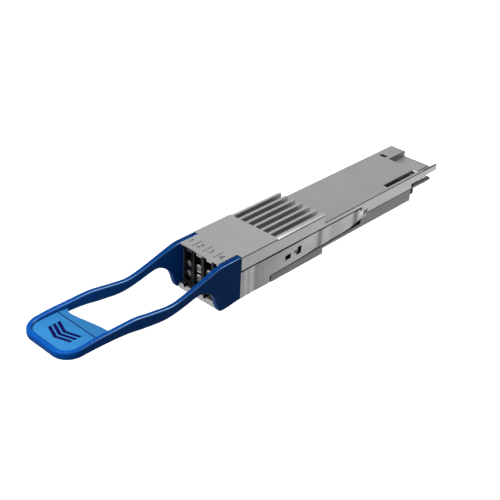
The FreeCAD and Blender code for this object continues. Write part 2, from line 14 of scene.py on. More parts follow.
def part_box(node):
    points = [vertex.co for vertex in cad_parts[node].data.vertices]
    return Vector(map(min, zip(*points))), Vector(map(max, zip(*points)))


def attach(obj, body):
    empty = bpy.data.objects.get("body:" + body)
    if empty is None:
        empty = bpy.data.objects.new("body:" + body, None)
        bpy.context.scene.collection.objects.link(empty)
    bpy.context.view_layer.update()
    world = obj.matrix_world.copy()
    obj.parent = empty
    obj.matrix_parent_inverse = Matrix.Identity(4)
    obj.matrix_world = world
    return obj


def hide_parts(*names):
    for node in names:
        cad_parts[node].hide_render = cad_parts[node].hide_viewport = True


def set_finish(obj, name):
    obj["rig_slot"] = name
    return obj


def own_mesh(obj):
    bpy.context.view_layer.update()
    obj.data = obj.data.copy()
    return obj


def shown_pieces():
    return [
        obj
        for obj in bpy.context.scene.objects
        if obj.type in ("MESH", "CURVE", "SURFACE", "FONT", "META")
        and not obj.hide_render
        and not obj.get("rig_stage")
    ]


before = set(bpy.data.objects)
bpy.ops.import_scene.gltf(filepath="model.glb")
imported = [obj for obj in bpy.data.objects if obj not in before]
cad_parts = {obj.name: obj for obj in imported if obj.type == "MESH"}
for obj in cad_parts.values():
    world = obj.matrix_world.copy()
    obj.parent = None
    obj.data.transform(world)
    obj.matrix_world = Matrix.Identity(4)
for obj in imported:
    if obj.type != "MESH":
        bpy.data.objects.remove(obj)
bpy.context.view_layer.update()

# ---- the module frame inside the row frame ------------------------------------------------------
MM = 0.001
NOSE_TOP = 11.4
sink_low, sink_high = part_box("nose_heat_sink")
TO_ROW = Matrix.Translation((sink_low.x, 0.0, sink_high.z - NOSE_TOP * MM)) @ Matrix.Scale(MM, 4)
TO_MODULE = TO_ROW.inverted()


def node_box(node):
    """Low and high corner of a CAD node in the module frame."""
    low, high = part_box(node)
    return TO_MODULE @ low, TO_MODULE @ high


# ---- sizes, in millimetres ----------------------------------------------------------------------
HALF_W = node_box("upper_housing")[1].y
BODY_H = 8.5            # height of the in-cage body
STOP_X = node_box("nose_heat_sink")[1].x    # the nose ends here and the in-cage body begins
TAB_FRONT_X, TAB_REAR_X = (corner.x for corner in node_box("pull_tab"))
SLIDER_END_X = node_box("latch_slider")[1].x
ROOF_END_X = 89.0       # front edge of the low tongue between the roof's wings
WINGS_X = 90.3          # beyond it only wings and tongue are left
TONGUE_TOP = 6.55
WING_WALL_Y = (3.2, 3.7)
SLOT_ENDS = ((88.1, (-8.19, -6.51)), (90.2, (5.01, 7.39)))    # rear rims of the roof's slots
SLOT_CHAMFER = 0.24
RECESS_END_X = 58.9     # rear end of the recess that the slider runs in
RECESS_WALL_Y = 8.5
LATCH_POCKET_X, LATCH_POCKET_Y, LATCH_POCKET_Z = (58.95, 61.9), (8.0, 9.15), (2.9, 5.6)
NOSE_FLOOR_END_X = 6.8
LIP_NOTCH_X, LIP_NOTCH_Z = (-0.45, 1.05), (-1.45, -0.76)
EDGE = 0.12             # softened edge of the castings
SCORE = 0.18            # width of the scored lines

FIN_X = 21.2            # front end of the fins
FINS_HALF_W = 8.5
PLATE_EDGE = 0.22       # softened front edge of the label plate
FIN_EDGE = 0.06

PORT_PITCH = 3.8
PORT_HALF_W = 1.35
PORT_Z = (-0.5, 10.0)
PORT_CHAMFER = 0.15

TAB_ARM_T = 1.5         # thickness of the loop
TAB_CORNER_R = 5.0
TAB_EDGE_R = 0.68       # edge radius of the arms
PANEL_EDGE_R = 0.36     # edge radius of the panels beside the nose
PANEL_FRONT_X = -0.6
PANEL_T = 1.75
PAD_TOP = 8.05
PAD_BOTTOM = 6.5
PAD_CREASE_X = -40.4
CREASE_HALF_W, CREASE_DEPTH = 0.16, 0.14
PAD_REAR_SLOPE = 0.12   # fall of the pad's top behind the crease
PAD_MARK_X = (-47.4, -42.2)
PAD_MARK_HALF_Y = 4.3
CHEVRONS = 3
CHEVRON_SWEEP, CHEVRON_STROKE = 1.5, 0.95
MARK_DEPTH = 0.25
INLAY_Z = (PAD_TOP - 0.4, PAD_TOP - 0.1)

STEEL = 0.3             # thickness of the slider's sheet
ARM_OUT_Y = 8.9
SLIDER_FRONT_X = 1.2
SLIDER_BOTTOM = -1.9
SLIDER_TOP = 6.42       # lower than the recess, so that a gap shows above it
BRIDGE_X = (8.5, 18.6)
SPRING_TAB_X, SPRING_TAB_Y, SPRING_TAB_Z = 27.2, 6.95, (2.75, 3.95)

SPRING_WIRE_R = 0.12
SPRING_TURNS = 10


# ---- mesh helpers -------------------------------------------------------------------------------
def from_bmesh(name, bm):
    """New object from a bmesh, linked to the scene."""
    mesh = bpy.data.meshes.new(name)
    bm.normal_update()
    bm.to_mesh(mesh)
    bm.free()
    obj = bpy.data.objects.new(name, mesh)
    bpy.context.scene.collection.objects.link(obj)
    return obj


def edit(obj, change):
    """Run a function on the object's bmesh and write it back."""
    bm = bmesh.new()
    bm.from_mesh(obj.data)
    change(bm)
    bm.normal_update()
    bm.to_mesh(obj.data)
    bm.free()
    return obj


def prism(name, points, axis, span):
    """Closed polygon extruded along one axis; points are in the other two axes, in XYZ order."""
    def at(point, depth):
        coords = list(point)
        coords.insert("XYZ".index(axis), depth)
        return coords

    bm = bmesh.new()
    lower = [bm.verts.new(at(point, span[0])) for point in points]
    upper = [bm.verts.new(at(point, span[1])) for point in points]
    bm.faces.new(lower)
    bm.faces.new(upper)
    for index in range(len(points)):
        following = (index + 1) % len(points)
        bm.faces.new((lower[index], lower[following], upper[following], upper[index]))
    bmesh.ops.recalc_face_normals(bm, faces=bm.faces)
    return from_bmesh(name, bm)


def skin(bm, rings):
    """Close a row of rings of vertices into a solid."""
    for ring, following in zip(rings, rings[1:]):
        for index in range(len(ring)):
            after = (index + 1) % len(ring)
            bm.faces.new((ring[index], ring[after], following[after], following[index]))
    bm.faces.new(rings[0])
    bm.faces.new(rings[-1])
    bmesh.ops.recalc_face_normals(bm, faces=bm.faces)
    return bm


def block(name, x, y, z):
    """Box between two values of each coordinate."""
    return prism(name, [(y[0], z[0]), (y[1], z[0]), (y[1], z[1]), (y[0], z[1])], "X", x)


def remove(obj):
    """Delete an object and its mesh."""
    mesh = obj.data
    bpy.data.objects.remove(obj)
    bpy.data.meshes.remove(mesh)


def apply_modifiers(obj):
    """Replace the object's mesh by its evaluated one."""
    bpy.context.view_layer.update()
    made = bpy.data.meshes.new_from_object(obj.evaluated_get(bpy.context.evaluated_depsgraph_get()))
    old = obj.data
    obj.modifiers.clear()
    obj.data = made
    bpy.data.meshes.remove(old)
    return obj


def carve(base, tools):
    """Cut each tool out of the base in turn; the tools are used up."""
    for tool in tools:
        modifier = base.modifiers.new("cut", "BOOLEAN")
        modifier.operation = "DIFFERENCE"
        modifier.solver = "EXACT"
        modifier.object = tool
        apply_modifiers(base)
        remove(tool)
    return base


def from_cad(node, name):
    """New object with a CAD node's surface, in the module frame, with its flat faces merged."""
    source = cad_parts[node].data
    mesh = bpy.data.meshes.new(name)
    mesh.from_pydata([TO_MODULE @ v.co for v in source.vertices], [],
                     [list(p.vertices) for p in source.polygons])
    obj = bpy.data.objects.new(name, mesh)
    bpy.context.scene.collection.objects.link(obj)

    def merge(bm):
        bmesh.ops.remove_doubles(bm, verts=bm.verts, dist=1e-3)
        bmesh.ops.dissolve_limit(bm, angle_limit=math.radians(0.5), verts=bm.verts, edges=bm.edges)

    return edit(obj, merge)


def soften(obj, width, wanted, segments=2):
    """Bevel the convex edges that a test of their middle and direction picks."""
    def bevel(bm):
        picked = []
        for edge in bm.edges:
            if len(edge.link_faces) != 2 or not edge.is_convex:
                continue
            along = edge.verts[1].co - edge.verts[0].co
            if along.length < 3 * width or edge.calc_face_angle() < math.radians(40):
                continue
            if wanted((edge.verts[0].co + edge.verts[1].co) / 2, along.normalized()):
                picked.append(edge)
        bmesh.ops.bevel(bm, geom=picked, offset=width, offset_type="OFFSET", segments=segments,
                        profile=0.5, affect="EDGES", clamp_overlap=False)

    return edit(obj, bevel)


def place(obj, body, slot, material, replaces=(), smooth=35):
    """Move a finished mesh into the row frame, give it its finish and hang it on its body.

    Edges sharper than the smooth angle stay sharp; with 0 every face is shaded flat.
    """
    obj.data.transform(TO_ROW)
    obj.data.materials.clear()
    obj.data.materials.append(material)
    if smooth:
        obj.data.shade_smooth()
        obj.data.set_sharp_from_angle(angle=math.radians(smooth))
        weighted = obj.modifiers.new("weighted", "WEIGHTED_NORMAL")
        weighted.keep_sharp = True
    else:
        obj.data.shade_flat()
    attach(obj, body)
    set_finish(obj, slot)
    if replaces:
        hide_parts(*replaces)
    return obj


def paint(obj, material, wanted):
    """Give a placed piece's faces another finish where a test of their middle and normal says so."""
    obj.data.materials.append(material)
    for face in obj.data.polygons:
        if wanted(TO_MODULE @ face.center, face.normal):
            face.material_index = len(obj.data.materials) - 1
    return obj


def smooth_curve(points, x):
    """Height of a smooth curve through (x, z) points, level where two neighbours have one height."""
    points = sorted(points)
    count = len(points)
    slopes = []
    for index in range(count):
        before, here, after = points[max(index - 1, 0)], points[index], points[min(index + 1, count - 1)]
        level = (before != here and before[1] == here[1]) or (after != here and after[1] == here[1])
        slopes.append(0.0 if level else (after[1] - before[1]) / (after[0] - before[0]))
    if x <= points[0][0]:
        return points[0][1]
    for index in range(count - 1):
        (x0, z0), (x1, z1) = points[index], points[index + 1]
        if x <= x1:
            width = x1 - x0
            t = (x - x0) / width
            return ((2 * t ** 3 - 3 * t ** 2 + 1) * z0 + (t ** 3 - 2 * t ** 2 + t) * width * slopes[index]
                    + (3 * t ** 2 - 2 * t ** 3) * z1 + (t ** 3 - t ** 2) * width * slopes[index + 1])
    return points[-1][1]


def step(x, start, end):
    """Smooth step from 0 to 1."""
    t = min(max((x - start) / (end - start), 0.0), 1.0)
    return t * t * (3 - 2 * t)


# ---- materials ----------------------------------------------------------------------------------
class Shader:
    """Small helper that builds a node material around one Principled BSDF."""

    def __init__(self, name, **sockets):
        self.material = bpy.data.materials.new(name)
        self.material.use_nodes = True
        self.tree = self.material.node_tree
        self.bsdf = next(n for n in self.tree.nodes if n.type == "BSDF_PRINCIPLED")
        self.coords = self.tree.nodes.new("ShaderNodeTexCoord").outputs["Object"]
        for key, value in sockets.items():
            self.bsdf.inputs[key.replace("_", " ")].default_value = value

    def link(self, source, target):
        """Connect an output to an input."""
        self.tree.links.new(source, target)

    def node(self, kind, **settings):
        """New node with its settings."""
        made = self.tree.nodes.new(kind)
        for key, value in settings.items():
            setattr(made, key, value)
        return made

    def stretched(self, scale):
        """Object coordinates, scaled per axis, in features per metre."""
        mapping = self.node("ShaderNodeMapping")
        mapping.inputs["Scale"].default_value = scale
        self.link(self.coords, mapping.inputs["Vector"])
        return mapping.outputs["Vector"]

    def noise(self, scale, detail=3.0):
        """Noise with that many features per metre; a triple stretches it."""
        made = self.node("ShaderNodeTexNoise")
        triple = scale if isinstance(scale, tuple) else (scale, scale, scale)
        made.inputs["Scale"].default_value = 1.0
        made.inputs["Detail"].default_value = detail
        made.inputs["Roughness"].default_value = 0.55
        self.link(self.stretched(triple), made.inputs["Vector"])
        return made.outputs["Fac"]

    def ramp(self, factor, stops):
        """Colour ramp; stops are (place, colour)."""
        made = self.node("ShaderNodeValToRGB")
        elements = made.color_ramp.elements
        while len(elements) < len(stops):
            elements.new(0.5)
        for element, (where, colour) in zip(elements, stops):
            element.position = where
            element.color = (*colour, 1.0)
        self.link(factor, made.inputs["Fac"])
        return made.outputs["Color"]

    def spread(self, factor, low, high):
        """A factor around 0.5 mapped to a range."""
        made = self.node("ShaderNodeMapRange")
        made.inputs["From Min"].default_value = 0.3
        made.inputs["From Max"].default_value = 0.7
        made.inputs["To Min"].default_value = low
        made.inputs["To Max"].default_value = high
        self.link(factor, made.inputs["Value"])
        return made.outputs["Result"]

    def colour(self, factor, dark, light):
        """Base colour that wanders between two colours."""
        self.link(self.ramp(factor, [(0.3, dark), (0.7, light)]), self.bsdf.inputs["Base Color"])

    def roughness(self, factor, low, high):
        """Roughness that wanders between two values."""
        self.link(self.spread(factor, low, high), self.bsdf.inputs["Roughness"])

    def bump(self, height, distance, strength):
        """Bump whose full height is the distance, in metres."""
        made = self.node("ShaderNodeBump")
        made.inputs["Distance"].default_value = distance
        made.inputs["Strength"].default_value = strength
        self.link(height, made.inputs["Height"])
        self.link(made.outputs["Normal"], self.bsdf.inputs["Normal"])


def shade(colour, factor):
    """The colour made darker or lighter."""
    return tuple(channel * factor for channel in colour)


def cast_metal(name, colour, rough=0.38):
    """Satin nickel on a die casting: fine grain, faint clouding."""
    made = Shader(name, Metallic=1.0)
    cloud = made.noise(120.0)
    grain = made.noise(5200.0, detail=2.0)
    made.colour(cloud, shade(colour, 0.965), shade(colour, 1.035))
    made.roughness(grain, rough - 0.04, rough + 0.05)
    made.bump(grain, 0.0000012, 0.6)
    return made.material


def brushed_metal(name, colour, rough=0.3, anisotropic=0.7):
    """Rolled sheet with its brushing along X, so that highlights stretch across it."""
    made = Shader(name, Metallic=1.0, Anisotropic=anisotropic)
    lines = made.noise((160.0, 9000.0, 9000.0), detail=2.0)
    cloud = made.noise((90.0, 260.0, 260.0))
    made.colour(cloud, shade(colour, 0.9), shade(colour, 1.08))
    made.roughness(lines, rough - 0.06, rough + 0.08)
    made.bump(lines, 0.0000014, 0.6)
    along = made.node("ShaderNodeCombineXYZ")
    along.inputs["Y"].default_value = 0.7
    along.inputs["Z"].default_value = 0.7
    made.link(along.outputs["Vector"], made.bsdf.inputs["Tangent"])
    return made.material


def plastic(name, colour, rough=0.42, specular=0.3, grain=3000.0, depth=0.000006):
    """Moulded plastic with a fine eroded texture."""
    made = Shader(name, Specular_IOR_Level=specular)
    cloud = made.noise(150.0)
    texture = made.noise(grain, detail=3.0)
    made.colour(cloud, shade(colour, 0.93), shade(colour, 1.07))
    made.roughness(texture, rough - 0.05, rough + 0.07)
    made.bump(texture, depth, 0.5)
    return made.material


def plated(name, colour, rough=0.22):
    """Bright plated or machined metal."""
    made = Shader(name, Metallic=1.0)
    fine = made.noise(7000.0, detail=2.0)
    made.colour(fine, shade(colour, 0.92), shade(colour, 1.05))
    made.roughness(fine, rough - 0.05, rough + 0.06)
    return made.material


def board_mask(name):
    """Green solder mask over fine copper traces, with bare laminate at the cut edges."""
    made = Shader(name, Specular_IOR_Level=0.5)
    wave = made.node("ShaderNodeTexWave", wave_type="BANDS", bands_direction="Y")
    wave.inputs["Scale"].default_value = 1.0
    wave.inputs["Distortion"].default_value = 2.5
    made.link(made.stretched((60.0, 900.0, 900.0)), wave.inputs["Vector"])
    mask = made.ramp(wave.outputs["Fac"],
                     [(0.42, (0.006, 0.045, 0.022)), (0.55, (0.012, 0.085, 0.04))])
    low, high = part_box("circuit_board")
    parts = made.node("ShaderNodeSeparateXYZ")
    made.link(made.coords, parts.inputs["Vector"])
    inside = made.node("ShaderNodeMath", operation="COMPARE")
    inside.inputs[1].default_value = (low.z + high.z) / 2
    inside.inputs[2].default_value = (high.z - low.z) / 2 - 0.02 * MM
    made.link(parts.outputs["Z"], inside.inputs[0])
    mixed = made.node("ShaderNodeMix", data_type="RGBA")
    mixed.inputs["B"].default_value = (0.14, 0.14, 0.135, 1.0)
    made.link(inside.outputs["Value"], mixed.inputs["Factor"])
    made.link(mask, mixed.inputs["A"])
    made.link(mixed.outputs["Result"], made.bsdf.inputs["Base Color"])
    made.roughness(made.noise(2500.0), 0.3, 0.42)
    made.bump(wave.outputs["Fac"], 0.00001, 0.4)
    return made.material


def soft_pad(name, colour):
    """Filled silicone or foam with a pebbled surface."""
    made = Shader(name, Specular_IOR_Level=0.2)
    cells = made.node("ShaderNodeTexVoronoi")
    cells.inputs["Scale"].default_value = 1.0
    made.link(made.stretched((3200.0, 3200.0, 3200.0)), cells.inputs["Vector"])
    made.colour(made.noise(900.0), shade(colour, 0.85), shade(colour, 1.15))
    made.roughness(made.noise(2600.0), 0.7, 0.9)
    made.bump(cells.outputs["Distance"], 0.00002, 0.5)
    return made.material


def clear_glass(name, tint):
    """Smooth pale glass, seen as a surface."""
    made = Shader(name, Specular_IOR_Level=0.5)
    made.colour(made.noise(800.0), shade(tint, 0.9), tint)
    made.roughness(made.noise(1800.0), 0.05, 0.12)
    return made.material


UPPER = cast_metal("upper_casting", (0.6, 0.6, 0.6))
# Darker copy of the casting metal: painted shade on the lower housing and on the wings' inner walls.
SHADED_CASTING = cast_metal("casting_painted_shade", (0.235, 0.235, 0.238))
SINK = cast_metal("label_plate_casting", (0.68, 0.68, 0.68))
# Brighter copy of the casting metal: painted highlight on slot chamfers, latch pockets and fin tops.
HIGHLIGHT_METAL = cast_metal("casting_painted_highlight", (0.95, 0.95, 0.95), rough=0.22)
# Darker copy of the label plate's metal: painted shade on the fins' walls and valleys.
FIN_WALL_SHADE = cast_metal("fin_wall_painted_shade", (0.54, 0.54, 0.54))
# Lighter, rougher copy of the casting metal: painted light on the tongue's top.
LIT_TONGUE = cast_metal("tongue_casting_painted_light", (0.74, 0.74, 0.74), rough=0.7)
SHADOW = cast_metal("gap_shadow", (0.03, 0.03, 0.032), rough=0.6)
STEEL_SHEET = brushed_metal("brushed_steel", (0.44, 0.44, 0.445), rough=0.24)
SPRING_WIRE = brushed_metal("spring_steel", (0.55, 0.55, 0.56), 0.25, 0.3)
BLUE = plastic("tab_blue", (0.0008, 0.03, 0.14), rough=0.33, specular=0.015)
# Lighter copy of the tab's blue: painted light on the pad, which is one moulding with the loop.
LIT_PAD_BLUE = plastic("pad_blue_painted_light", (0.011, 0.077, 0.185), rough=0.4, specular=0.06)
# Navy for the chevron inlays, also used as painted shade in the pad's crease.
NAVY_MARK_AND_CREASE_SHADE = plastic("mark_navy_and_crease_shade", (0.0008, 0.0012, 0.028), rough=0.5, specular=0.03)
# Grey painted highlight on the port rims.
RIM_HIGHLIGHT = plastic("port_rim_painted_highlight", (0.07, 0.07, 0.073), rough=0.4, specular=0.4)
BLACK = plastic("black_plastic", (0.012, 0.012, 0.014), rough=0.4, specular=0.35)
NICKEL = plated("bright_nickel", (0.72, 0.71, 0.69), rough=0.2)


# ---- camera -------------------------------------------------------------------------------------
AZIMUTH, ELEVATION, ROLL = (math.radians(angle) for angle in (-47.847, 31.293, 2.581))
CAMERA_AT = (-154.949, -158.389, 147.561)
LENS = 70.832


def make_camera():
    """The viewing angle of the picture, from the front left and above."""
    back = Vector((math.sin(AZIMUTH) * math.cos(ELEVATION), -math.cos(AZIMUTH) * math.cos(ELEVATION),
                   math.sin(ELEVATION)))
    right = Vector((0, 0, 1)).cross(back).normalized()
    up = back.cross(right)
    across = right * math.cos(ROLL) + up * math.sin(ROLL)
    upward = up * math.cos(ROLL) - right * math.sin(ROLL)
    camera = bpy.data.objects.new("camera", bpy.data.cameras.new("camera"))
    camera.data.lens = LENS
    camera.data.sensor_width = 36.0
    camera.data.clip_start, camera.data.clip_end = 0.01, 20.0
    camera.matrix_world = Matrix.Translation(TO_ROW @ Vector(CAMERA_AT)) @ \
        Matrix((across, upward, back)).transposed().to_4x4()
    bpy.context.scene.collection.objects.link(camera)
    bpy.context.scene.camera = camera


# ---- pull tab -----------------------------------------------------------------------------------
# Side view of the loop: X and Z along its upper and lower edge.
TAB_TOP = [(TAB_REAR_X, NOSE_TOP), (0.6, NOSE_TOP), (-5.5, 10.1), (-11.0, 8.7), (-17.5, 7.5),
           (-24.0, 8.3), (-31.0, 9.3), (-40.0, 9.3), (TAB_FRONT_X, 8.7)]
TAB_BOTTOM = [(TAB_FRONT_X, 6.4), (-42.0, 6.5), (-33.0, 6.0), (-26.5, 4.9), (-20.0, 4.15),
              (-14.5, 4.8), (-9.0, 6.1), (-7.0, 6.05), (-5.5, 5.4), (-4.2, 4.4), (-3.0, 3.0),
              (-2.2, 1.2), (-1.5, -1.0), (PANEL_FRONT_X, -2.4), (TAB_REAR_X, -1.9)]


def tab_stations():
    """Points along the loop's outer edge from the right panel round the front to the left one."""
    reach = HALF_W - TAB_CORNER_R
    turn = TAB_FRONT_X + TAB_CORNER_R
    steps = 12
    stations = []
    x = TAB_REAR_X
    while x > turn + 0.01:
        stations.append((x, -HALF_W, 0.0, -1.0))
        x -= 0.12 if -4.5 < x < 0.6 else 0.6    # closer where the panels' edges curve
    for index in range(steps + 1):
        angle = math.radians(90 * index / steps)
        stations.append((turn - TAB_CORNER_R * math.sin(angle), -reach - TAB_CORNER_R * math.cos(angle),
                         -math.sin(angle), -math.cos(angle)))
    right_half = list(stations)
    for index in range(1, steps):
        stations.append((TAB_FRONT_X, -reach + 2 * reach * index / steps, -1.0, 0.0))
    stations += [(sx, -sy, nx, -ny) for sx, sy, nx, ny in reversed(right_half)]
    return stations


def tab_section(station):
    """Rounded rectangle across the loop at one station."""
    x, y, out_x, out_y = station
    top, bottom = smooth_curve(TAB_TOP, x), smooth_curve(TAB_BOTTOM, x)
    thick = TAB_ARM_T + (PANEL_T - TAB_ARM_T) * step(x, -8.0, PANEL_FRONT_X)
    radius = TAB_EDGE_R + (PANEL_EDGE_R - TAB_EDGE_R) * step(x, -14.0, -4.0)
    corners = [(0.0, top, 0), (0.0, bottom, 270), (thick, bottom, 180), (thick, top, 90)]
    ring = []
    for depth, height, start in corners:
        side = 1 if depth == 0.0 else -1
        rise = -1 if height == top else 1
        centre = (depth + side * radius, height + rise * radius)
        for index in range(7):
            angle = math.radians(start + 90 - 15 * index)
            ring.append((centre[0] - radius * math.cos(angle), centre[1] + radius * math.sin(angle)))
    return [Vector((x - out_x * depth, y - out_y * depth, height)) for depth, height in ring]


def tab_loop():
    """Arms, front rim and side panels as one swept band with rounded edges."""
    bm = bmesh.new()
    rings = [[bm.verts.new(point) for point in tab_section(station)] for station in tab_stations()]
    obj = from_bmesh("pull_tab_loop", skin(bm, rings))
    return soften(obj, 0.25, lambda at, along: at.x > TAB_REAR_X - 0.01, segments=3)


# Rear edge of the pad: Y and X.
PAD_BACK = [(7.9, -37.2), (6.2, -38.2), (3.8, -38.1), (0.0, -37.2), (-3.5, -36.4), (-7.9, -35.9)]


def chevron(name, tip_x, z):
    """Arrow stroke that points along the pull, across the pad."""
    wing_x = tip_x + CHEVRON_SWEEP
    points = [(tip_x, 0.0), (wing_x, PAD_MARK_HALF_Y), (wing_x + CHEVRON_STROKE, PAD_MARK_HALF_Y),
              (tip_x + CHEVRON_STROKE, 0.0), (wing_x + CHEVRON_STROKE, -PAD_MARK_HALF_Y),
              (wing_x, -PAD_MARK_HALF_Y)]
    return prism(name, points, "Z", z)


def chevron_tips():
    """Front points of the evenly spaced chevrons."""
    first = PAD_MARK_X[0]
    last = PAD_MARK_X[1] - CHEVRON_SWEEP - CHEVRON_STROKE
    return [first + (last - first) * index / (CHEVRONS - 1) for index in range(CHEVRONS)]


def tab_pad():
    """Gripping pad inside the loop, with its crease, askew rear edge and engraved chevrons."""
    side = HALF_W - TAB_ARM_T / 2
    front = TAB_FRONT_X + TAB_ARM_T / 2
    radius = TAB_CORNER_R - TAB_ARM_T / 2
    outline = []
    for sign in (-1, 1):
        corner = [(front + radius - radius * math.sin(math.radians(angle)),
                   sign * (side - radius + radius * math.cos(math.radians(angle))))
                  for angle in range(0, 91, 9)]
        outline += corner if sign < 0 else corner[::-1]
    rear_ys = [side - 2 * side * index / 24 for index in range(25)]
    outline += [(smooth_curve(PAD_BACK, y), y) for y in rear_ys]
    pad = prism("pull_tab_pad", outline, "Z", (PAD_BOTTOM, 10.0))

    clear_front, clear_rear, clear_top = front - 2, -30.0, 12.0
    behind_x, behind_z = PAD_CREASE_X + CREASE_HALF_W, PAD_TOP - 0.02
    above = [(clear_front, PAD_TOP), (PAD_CREASE_X - CREASE_HALF_W, PAD_TOP),
             (PAD_CREASE_X, PAD_TOP - CREASE_DEPTH), (behind_x, behind_z),
             (clear_rear, behind_z + (behind_x - clear_rear) * PAD_REAR_SLOPE),
             (clear_rear, clear_top), (clear_front, clear_top)]
    carve(pad, [prism("above", above, "Y", (-10, 10))])
    carve(pad, [chevron("mark", tip, (PAD_TOP - MARK_DEPTH, PAD_TOP + 1)) for tip in chevron_tips()])
    soften(pad, 0.3, lambda at, along: at.x > -39.5 and abs(at.y) < side - 0.1 and abs(along.z) < 0.5, 3)
    return pad


def make_pull_tab():
    """Loop, pad in a lighter copy of the blue as painted light, painted shade in the pad's crease, and
    the dark inlays of the chevrons.
    """
    place(tab_loop(), "latch", "blue_plastic", BLUE, ["pull_tab"], smooth=50)
    pad = place(tab_pad(), "latch", "blue_plastic", LIT_PAD_BLUE)
    # Painted shade in the pad's crease.
    paint(pad, NAVY_MARK_AND_CREASE_SHADE, lambda at, normal: abs(at.x - PAD_CREASE_X) < CREASE_HALF_W + 0.01
          and at.z > PAD_TOP - 0.2)
    for index, tip in enumerate(chevron_tips()):
        inlay = chevron("pull_mark_%d" % (index + 1), tip, INLAY_Z)
        place(soften(inlay, 0.03, lambda at, along: True), "latch", "blue_plastic", NAVY_MARK_AND_CREASE_SHADE)


# ---- latch slider -------------------------------------------------------------------------------
# How far the spring sheet stands out from its straight line: pressed bead, waves, joggle, flared tip.
SLIDER_BOW = [(6.0, 0.10), (8.5, 0.10), (9.7, 0.06), (10.5, 0.06), (12.2, 0.0), (14.0, 0.05),
              (17.0, 0.11), (24.0, 0.15), (30.0, 0.12), (35.0, 0.02), (38.4, -0.06), (38.9, -0.06),
              (41.0, 0.07), (41.5, 0.07), (44.5, -0.03), (46.5, -0.02), (50.0, 0.0), (54.4, -0.07),
              (55.0, -0.07), (57.2, 0.12), (57.8, 0.14), (58.7, 0.08)]
# What is cut away below the sheet, as X and Z: behind the bridge, then along the sloping lower edge.
SLIDER_UNDER = [(18.2, -3.0), (18.2, -1.9), (18.6, -1.5), (18.6, 0.1), (19.2, 0.35), (53.8, 1.42),
                (58.0, 2.75), (SLIDER_END_X + 1, 2.9), (SLIDER_END_X + 1, -3.0)]
# The narrowed root inside the panels and the windows: spans of X and Z.
ROOT_X = (0.0, TAB_REAR_X + 0.05)
SLIDER_CUTS = {
    "root_low": (ROOT_X, (-3.0, -1.0)),
    "root_high": (ROOT_X, (6.0, 8.0)),
    "spring_window": ((24.8, 27.2), (2.6, 4.2)),
    "stop_window_top": ((28.5, 31.7), (3.4, 4.95)),
    "stop_window_low": ((29.6, 31.6), (2.5, 3.5)),
}


def slider_arm(side):
    """One arm: sheet with its stepped lower edge, spring window, stop window and flared tip."""
    inner, outer = ARM_OUT_Y - STEEL, ARM_OUT_Y
    section = [(inner, SLIDER_BOTTOM), (outer, SLIDER_BOTTOM), (outer, SLIDER_TOP), (inner, SLIDER_TOP)]
    count = 192
    bm = bmesh.new()
    rings = []
    for index in range(count + 1):
        x = SLIDER_FRONT_X + (SLIDER_END_X - SLIDER_FRONT_X) * index / count
        rings.append([bm.verts.new((x, y, z)) for y, z in section])
    arm = from_bmesh("latch_arm_" + ("left" if side > 0 else "right"), skin(bm, rings))
    through = (8.0, 9.5)
    carve(arm, [prism("under", SLIDER_UNDER, "Y", through)]
          + [block(name, x, through, z) for name, (x, z) in SLIDER_CUTS.items()])

    def bend(bm):
        bmesh.ops.dissolve_degenerate(bm, dist=1e-4, edges=bm.edges)
        for vertex in bm.verts:
            vertex.co.y = side * (vertex.co.y + smooth_curve(SLIDER_BOW, vertex.co.x))
        if side < 0:
            bmesh.ops.reverse_faces(bm, faces=bm.faces)

    return edit(arm, bend)


def make_latch_slider():
    """Two arms, the bridge under the nose and the tabs that press on the springs."""
    bridge = block("latch_bridge", BRIDGE_X, (-ARM_OUT_Y, ARM_OUT_Y),
                   (SLIDER_BOTTOM, SLIDER_BOTTOM + STEEL))
    soften(bridge, 0.06, lambda at, along: abs(along.x) < 0.5)
    place(slider_arm(-1), "latch", "spring_steel", STEEL_SHEET, ["latch_slider"])
    place(slider_arm(1), "latch", "spring_steel", STEEL_SHEET)
    place(bridge, "latch", "spring_steel", STEEL_SHEET)
    for name, side in (("left", 1), ("right", -1)):
        span = sorted((side * SPRING_TAB_Y, side * (ARM_OUT_Y - 0.02)))
        tab = block("spring_tab_" + name, (SPRING_TAB_X, SPRING_TAB_X + STEEL), span, SPRING_TAB_Z)
        soften(tab, 0.05, lambda at, along: True)
        place(tab, "latch", "spring_steel", STEEL_SHEET)


def coil_spring(node, name, steps=20, sides=8):
    """Compression spring along X with the size of a CAD spring."""
    low, high = node_box(node)
    middle = (low + high) / 2
    radius = (high.z - low.z) / 2 - SPRING_WIRE_R
    length = high.x - low.x - 2 * SPRING_WIRE_R
    lead = length / SPRING_TURNS / (2 * math.pi)
    bm = bmesh.new()
    rings = []
    for index in range(SPRING_TURNS * steps + 1):
        angle = 2 * math.pi * index / steps
        out = Vector((0, math.cos(angle), math.sin(angle)))
        across = Vector((lead, -radius * out.z, radius * out.y)).normalized().cross(out)
        centre = Vector((low.x + SPRING_WIRE_R + lead * angle, middle.y, middle.z)) + out * radius
        turns = [2 * math.pi * side / sides for side in range(sides)]
        around = [math.cos(turn) * out + math.sin(turn) * across for turn in turns]
        rings.append([bm.verts.new(centre + SPRING_WIRE_R * point) for point in around])
    return from_bmesh(name, skin(bm, rings))


def make_return_springs():
    """Two coil springs in place of the CAD springs, each with its own mesh."""
    for side in ("left", "right"):
        node = "return_spring_" + side
        spring = place(coil_spring(node, "coil_spring_" + side), "housing", "spring_wire", SPRING_WIRE,
                       [node])
        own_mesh(spring)


# ---- housings -----------------------------------------------------------------------------------
def outer_edge(at, along):
    """True for the castings' edges along the sides and around their rear ends."""
    return abs(at.y) > HALF_W - 0.02 or (at.x > WINGS_X and at.z > 5)


